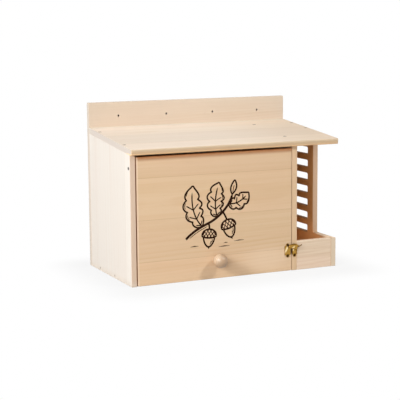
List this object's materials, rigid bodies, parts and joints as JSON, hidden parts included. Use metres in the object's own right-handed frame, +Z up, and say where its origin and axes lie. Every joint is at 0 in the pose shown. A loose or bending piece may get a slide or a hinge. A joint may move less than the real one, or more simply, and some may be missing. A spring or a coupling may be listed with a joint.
{
  "type": "wall-mounted pet feeder",
  "caption": "Wooden wall feeder box for small pets: closed chamber behind a lifting door with knob and horn latch, open porch with feeding tray and slotted ladder side.",
  "frame": {"origin": "middle of the row of wall-screw holes, on the back panel's back face", "axes": "+X to the right seen from the front, +Y into the wall, +Z up"},
  "size_m": [0.4, 0.2385, 0.3],
  "materials": {
    "pine": "bare sanded pine",
    "turned_wood": "bare turned beech",
    "brass": "worn bright brass",
    "steel": "dull steel",
    "dark_steel": "browned steel"
  },
  "bodies": {
    "case": {"back_panel": "pine", "left_side_panel": "pine", "divider_panel": "pine", "right_side_panel": "pine", "roof_panel": "pine", "chamber_floor": "pine", "porch_floor": "pine", "tray_front_wall": "pine", "pivot_pin_left": "steel", "pivot_pin_right": "steel", "latch_keeper_plate": "brass", "keeper_stud": "brass", "keeper_plate_nails": "dark_steel", "roof_nails": "steel", "left_side_nails": "steel", "divider_nails": "steel", "right_side_nails": "steel", "back_panel_nails": "steel"},
    "door": {"door_panel": "pine", "door_knob": "turned_wood", "knob_screw": "steel", "latch_hook_plate": "brass", "latch_rivet": "brass", "hook_plate_nails": "dark_steel"},
    "hook": {"latch_hook": "brass"}
  },
  "joints": [
    {"name": "door_swing", "type": "hinge", "parent": "case", "child": "door", "pos_m": [-0.04, -0.2035, -0.073], "axis": [-1, 0, 0], "range_deg": [0, 120]},
    {"name": "latch_turn", "type": "hinge", "parent": "door", "child": "hook", "pos_m": [0.1035, -0.21, -0.2309], "axis": [0, -1, 0], "range_deg": [0, 100]}
  ]
}
